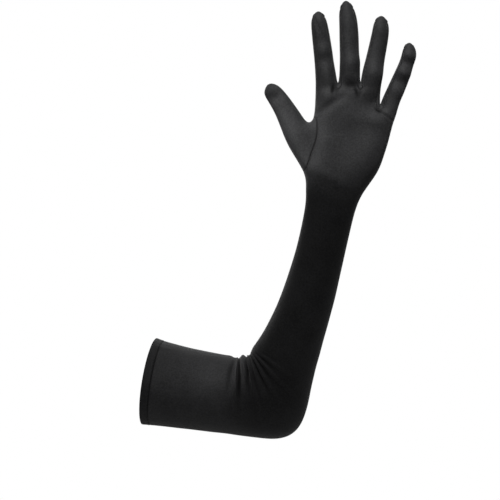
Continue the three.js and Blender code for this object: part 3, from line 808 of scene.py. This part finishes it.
def satinGroup():
    group = bpy.data.node_groups.new("satinSurface", "ShaderNodeTree")
    group.interface.new_socket("Cloth UV", in_out="INPUT", socket_type="NodeSocketVector")
    group.interface.new_socket("Place", in_out="INPUT", socket_type="NodeSocketVector")
    for name in ("Threads per metre", "Pucker scale", "Thread share", "Grain share"):
        group.interface.new_socket(name, in_out="INPUT", socket_type="NodeSocketFloat")
    group.interface.new_socket("Height", in_out="OUTPUT", socket_type="NodeSocketFloat")
    group.interface.new_socket("Tone", in_out="OUTPUT", socket_type="NodeSocketFloat")
    nodes, links = group.nodes, group.links
    given = nodes.new("NodeGroupInput")
    put = nodes.new("NodeGroupOutput")

    scaled = nodes.new("ShaderNodeVectorMath")
    scaled.operation = "SCALE"
    links.new(given.outputs["Cloth UV"], scaled.inputs[0])
    links.new(given.outputs["Threads per metre"], scaled.inputs["Scale"])
    weave = nodes.new("ShaderNodeTexWave")
    weave.wave_type = "BANDS"
    weave.bands_direction = "DIAGONAL"
    weave.inputs["Scale"].default_value = satinPattern["weaveScale"]
    weave.inputs["Distortion"].default_value = satinPattern["weaveDistortion"]
    weave.inputs["Detail"].default_value = satinPattern["weaveDetail"]
    links.new(scaled.outputs["Vector"], weave.inputs["Vector"])

    pucker = nodes.new("ShaderNodeTexNoise")
    pucker.inputs["Detail"].default_value = satinPattern["puckerDetail"]
    pucker.inputs["Roughness"].default_value = satinPattern["puckerRoughness"]
    links.new(given.outputs["Place"], pucker.inputs["Vector"])
    links.new(given.outputs["Pucker scale"], pucker.inputs["Scale"])

    height = nodes.new("ShaderNodeMix")
    height.data_type = "FLOAT"
    links.new(given.outputs["Thread share"], height.inputs["Factor"])
    links.new(pucker.outputs["Fac"], height.inputs["A"])
    links.new(weave.outputs["Fac"], height.inputs["B"])
    links.new(height.outputs["Result"], put.inputs["Height"])

    soft = nodes.new("ShaderNodeTexNoise")
    soft.inputs["Scale"].default_value = satinPattern["softScale"]
    soft.inputs["Detail"].default_value = satinPattern["softDetail"]
    links.new(given.outputs["Place"], soft.inputs["Vector"])
    grain = nodes.new("ShaderNodeTexNoise")
    grain.inputs["Scale"].default_value = satinPattern["grainScale"]
    grain.inputs["Detail"].default_value = satinPattern["grainDetail"]
    grain.inputs["Roughness"].default_value = satinPattern["grainRoughness"]
    links.new(given.outputs["Place"], grain.inputs["Vector"])
    tone = nodes.new("ShaderNodeMix")
    tone.data_type = "FLOAT"
    links.new(given.outputs["Grain share"], tone.inputs["Factor"])
    links.new(soft.outputs["Fac"], tone.inputs["A"])
    links.new(grain.outputs["Fac"], tone.inputs["B"])
    links.new(tone.outputs["Result"], put.inputs["Tone"])
    return group


satinSurface = satinGroup()
mixFactor, mixFirst, mixSecond, mixResult = 0, 6, 7, 2  # sockets of a Mix node for colours


def satinMaterial(name, look):
    made = bpy.data.materials.new(name)
    made.use_nodes = True
    nodes, links = made.node_tree.nodes, made.node_tree.links
    shader = nodes["Principled BSDF"]
    shader.inputs["Specular IOR Level"].default_value = look["specular"]
    shader.inputs["Sheen Weight"].default_value = look["sheen"]
    shader.inputs["Sheen Roughness"].default_value = look["sheenRoughness"]
    clothUv = nodes.new("ShaderNodeUVMap")
    clothUv.uv_map = "cloth"
    place = nodes.new("ShaderNodeTexCoord")
    surface = nodes.new("ShaderNodeGroup")
    surface.node_tree = satinSurface
    surface.inputs["Threads per metre"].default_value = look["threads"]
    surface.inputs["Pucker scale"].default_value = look["puckers"]
    surface.inputs["Thread share"].default_value = look["threadShare"]
    surface.inputs["Grain share"].default_value = look["grainShare"]
    links.new(clothUv.outputs["UV"], surface.inputs["Cloth UV"])
    links.new(place.outputs["Object"], surface.inputs["Place"])
    colour = nodes.new("ShaderNodeValToRGB")
    darkStop, lightStop = colour.color_ramp.elements
    darkStop.position, darkStop.color = look["darkBelow"], (*look["dark"], 1)
    lightStop.position, lightStop.color = look["lightAbove"], (*look["light"], 1)
    links.new(surface.outputs["Tone"], colour.inputs["Fac"])
    # Painted shade: the mask darkens the base colour towards the folded colour in grooves, creases
    # and seams, and the same mask dulls the roughness there.
    depth = nodes.new("ShaderNodeAttribute")
    depth.attribute_name = "paintedShadeMask"
    shaded = nodes.new("ShaderNodeMix")
    shaded.data_type = "RGBA"
    shaded.inputs[mixSecond].default_value = (*look["folded"], 1)
    links.new(depth.outputs["Fac"], shaded.inputs[mixFactor])
    links.new(colour.outputs["Color"], shaded.inputs[mixFirst])
    links.new(shaded.outputs[mixResult], shader.inputs["Base Color"])
    gloss = nodes.new("ShaderNodeMapRange")
    gloss.inputs["To Min"].default_value = look["glossiest"]
    gloss.inputs["To Max"].default_value = look["dullest"]
    links.new(surface.outputs["Tone"], gloss.inputs["Value"])
    dulled = nodes.new("ShaderNodeMix")
    dulled.inputs["B"].default_value = look["foldedRoughness"]
    links.new(depth.outputs["Fac"], dulled.inputs["Factor"])
    links.new(gloss.outputs["Result"], dulled.inputs["A"])
    links.new(dulled.outputs["Result"], shader.inputs["Roughness"])
    bump = nodes.new("ShaderNodeBump")
    bump.inputs["Strength"].default_value = look["relief"]
    bump.inputs["Distance"].default_value = look["reliefDepth"]
    links.new(surface.outputs["Height"], bump.inputs["Height"])
    links.new(bump.outputs["Normal"], shader.inputs["Normal"])
    return made


satinLook = {
    "dark": (0.013, 0.013, 0.0137),
    "light": (0.029, 0.029, 0.0303),
    "darkBelow": 0.38,
    "lightAbove": 0.62,
    "glossiest": 0.6,
    "dullest": 0.72,
    # the painted shade colour for grooves, creases and seams
    "folded": (0.003, 0.003, 0.0032),
    "foldedRoughness": 0.95,
    "specular": 0.22,
    "sheen": 0.12,
    "sheenRoughness": 0.4,
    "threads": 2200,
    "puckers": 420,
    "threadShare": 0.25,
    "grainShare": 0.65,
    "relief": 0.6,
    "reliefDepth": 0.3 * mm,
}
satin = satinMaterial("blackSatin", satinLook)
stripSatin = satinMaterial("stretchedSatin", {**satinLook, "specular": 0.3, "puckers": 520})
hemSatin = satinMaterial("hemSatin", {
    **satinLook, "dark": (0.009, 0.009, 0.0095), "light": (0.018, 0.018, 0.019), "specular": 0.19,
})
for piece, material in (
    (trank, satin), (thumbPiece, satin), (hem, hemSatin), *[(s, stripSatin) for s in strips],
):
    piece.data.materials.clear()
    piece.data.materials.append(material)


# Twisted thread: fine diagonal bands round each stitch.
threadLook = {
    "dark": (0.006, 0.006, 0.0065),
    "light": (0.014, 0.014, 0.0145),
    "roughness": 0.6,
    "specular": 0.3,
    "twistScale": 700,
    "twistDistortion": 2,
    "relief": 0.5,
    "reliefDepth": 0.05 * mm,
}


def threadMaterial():
    made = bpy.data.materials.new("hemThread")
    made.use_nodes = True
    nodes, links = made.node_tree.nodes, made.node_tree.links
    shader = nodes["Principled BSDF"]
    shader.inputs["Roughness"].default_value = threadLook["roughness"]
    shader.inputs["Specular IOR Level"].default_value = threadLook["specular"]
    place = nodes.new("ShaderNodeTexCoord")
    twist = nodes.new("ShaderNodeTexWave")
    twist.bands_direction = "DIAGONAL"
    twist.inputs["Scale"].default_value = threadLook["twistScale"]
    twist.inputs["Distortion"].default_value = threadLook["twistDistortion"]
    links.new(place.outputs["Object"], twist.inputs["Vector"])
    colour = nodes.new("ShaderNodeValToRGB")
    colour.color_ramp.elements[0].color = (*threadLook["dark"], 1)
    colour.color_ramp.elements[1].color = (*threadLook["light"], 1)
    links.new(twist.outputs["Fac"], colour.inputs["Fac"])
    links.new(colour.outputs["Color"], shader.inputs["Base Color"])
    bump = nodes.new("ShaderNodeBump")
    bump.inputs["Strength"].default_value = threadLook["relief"]
    bump.inputs["Distance"].default_value = threadLook["reliefDepth"]
    links.new(twist.outputs["Fac"], bump.inputs["Height"])
    links.new(bump.outputs["Normal"], shader.inputs["Normal"])
    return made


stitches.data.materials.append(threadMaterial())
print("materials made")

# The studio: a surround that looks white and lights dimly, a small box high in front, a weak one
# further forward, a wide one behind for the upper edges, and a pale floor. Seven snooted lamps light
# the hand, the palm, the thumb, the little finger's side, the sleeve, its stretch by the bend and
# the folds, and leave the lower sleeve darker.
studio = {
    "surround": 0.12,
    "boxes": [
        {
            "name": "keyBox", "place": (-0.047, -0.785, 1.831), "aim": (0.15, -0.05, 0.2),
            "size": 0.16, "power": 7.5,
        },
        {
            "name": "frontBox", "place": (0.35, -1.7, 0.75), "aim": (0.17, 0, 0.18),
            "size": 0.7, "power": 0.5,
        },
        {
            "name": "backdrop", "place": (0.12, 1.15, 0.95), "aim": (0.12, 0, 0.15),
            "size": 2.4, "power": 15,
        },
    ],
    "lamps": [
        {
            "name": "handLamp", "place": (0.018, -0.843, 1.786), "aim": (0.225, -0.07, 0.395),
            "cone": 7.05, "broad": 1.64, "roll": 0, "edge": 0.05, "softness": 0.03, "power": 84,
        },
        {
            "name": "palmLamp", "place": (-0.25, -1.3, 1.2), "aim": (0.195, -0.07, 0.245),
            "cone": 3.2, "broad": 1.0, "roll": 0, "edge": 0.08, "softness": 0.02, "power": 25,
        },
        {
            "name": "thumbLamp", "place": (-1.03, -0.93, 0.79), "aim": (0.146, -0.072, 0.252),
            "cone": 3.2, "broad": 0.55, "roll": 28.6, "edge": 0.25, "softness": 0.02, "power": 108,
        },
        {
            "name": "outerLamp", "place": (0.95, -1.35, 1.0), "aim": (0.263, -0.065, 0.285),
            "cone": 5.8, "broad": 0.5, "roll": -12, "edge": 1.0, "softness": 0.03, "power": 31,
        },
        {
            "name": "sleeveLamp", "place": (-0.566, -1.291, 0.8), "aim": (0.016, -0.035, 0.0),
            "cone": 4.73, "broad": 1.0, "roll": 0, "edge": 0.03, "softness": 0.02, "power": 29,
        },
        {
            "name": "bendLamp", "place": (-0.566, -1.291, 0.8), "aim": (0.066, -0.04, 0.024),
            "cone": 3.6, "broad": 0.8, "roll": 0, "edge": 1.0, "softness": 0.02, "power": 27,
        },
        {
            "name": "foldLamp", "place": (-1.35, -0.3, 0.52), "aim": (0.0845, -0.04, 0.013),
            "cone": 1.3, "broad": 0.5, "roll": 0, "edge": 0.3, "softness": 0.01, "power": 42,
        },
    ],
    "floor": {
        "middle": (0.1, 0, -1.0), "radius": 3.0, "sides": 64, "tone": 0.8, "roughness": 0.9,
    },
    "camera": {"place": (0.1025, -2.070, 0.1356), "lens": 144, "sensor": 36},
}
world = bpy.data.worlds.new("surround")
bpy.context.scene.world = world
world.use_nodes = True
worldNodes, worldLinks = world.node_tree.nodes, world.node_tree.links
dim = worldNodes["Background"]
dim.inputs["Color"].default_value = (1, 1, 1, 1)
dim.inputs["Strength"].default_value = studio["surround"]
seen = worldNodes.new("ShaderNodeBackground")
seen.inputs["Color"].default_value = (1, 1, 1, 1)
rays = worldNodes.new("ShaderNodeLightPath")
either = worldNodes.new("ShaderNodeMixShader")
worldLinks.new(rays.outputs["Is Camera Ray"], either.inputs["Fac"])
worldLinks.new(dim.outputs["Background"], either.inputs[1])
worldLinks.new(seen.outputs["Background"], either.inputs[2])
worldLinks.new(either.outputs["Shader"], worldNodes["World Output"].inputs["Surface"])


def placeLight(light, place, aim, broad=1, roll=0):
    holder = bpy.data.objects.new(light.name, light)
    bpy.context.scene.collection.objects.link(holder)
    holder.location = place
    facing = (Vector(aim) - Vector(place)).to_track_quat("-Z", "Y")
    rolled = facing @ Quaternion((0, 0, 1), math.radians(roll))
    holder.rotation_euler = rolled.to_euler()
    holder.scale.x = broad


for box in studio["boxes"]:
    light = bpy.data.lights.new(box["name"], "AREA")
    light.shape = "SQUARE"
    light.size = box["size"]
    light.energy = box["power"]
    placeLight(light, box["place"], box["aim"])
for lamp in studio["lamps"]:
    light = bpy.data.lights.new(lamp["name"], "SPOT")
    light.spot_size = math.radians(lamp["cone"])
    light.spot_blend = lamp["edge"]
    light.shadow_soft_size = lamp["softness"]
    light.energy = lamp["power"]
    placeLight(light, lamp["place"], lamp["aim"], lamp["broad"], lamp["roll"])

ground = studio["floor"]
floorNet = bmesh.new()
bmesh.ops.create_circle(
    floorNet, cap_ends=True, segments=ground["sides"], radius=ground["radius"]
)
bmesh.ops.translate(floorNet, verts=floorNet.verts, vec=ground["middle"])
floorMesh = bpy.data.meshes.new("floor")
floorNet.to_mesh(floorMesh)
floorNet.free()
floor = bpy.data.objects.new("floor", floorMesh)
bpy.context.scene.collection.objects.link(floor)
floorPaint = bpy.data.materials.new("paleFloor")
floorPaint.use_nodes = True
paint = floorPaint.node_tree.nodes["Principled BSDF"]
paint.inputs["Base Color"].default_value = (*[ground["tone"]] * 3, 1)
paint.inputs["Roughness"].default_value = ground["roughness"]
floorMesh.materials.append(floorPaint)

cameraLens = bpy.data.cameras.new("camera")
cameraLens.lens = studio["camera"]["lens"]
cameraLens.sensor_width = studio["camera"]["sensor"]
camera = bpy.data.objects.new("camera", cameraLens)
bpy.context.scene.collection.objects.link(camera)
camera.location = studio["camera"]["place"]
camera.rotation_euler = (math.pi / 2, 0, 0)
bpy.context.scene.camera = camera
bpy.context.scene.view_settings.view_transform = "Standard"
print("studio made")
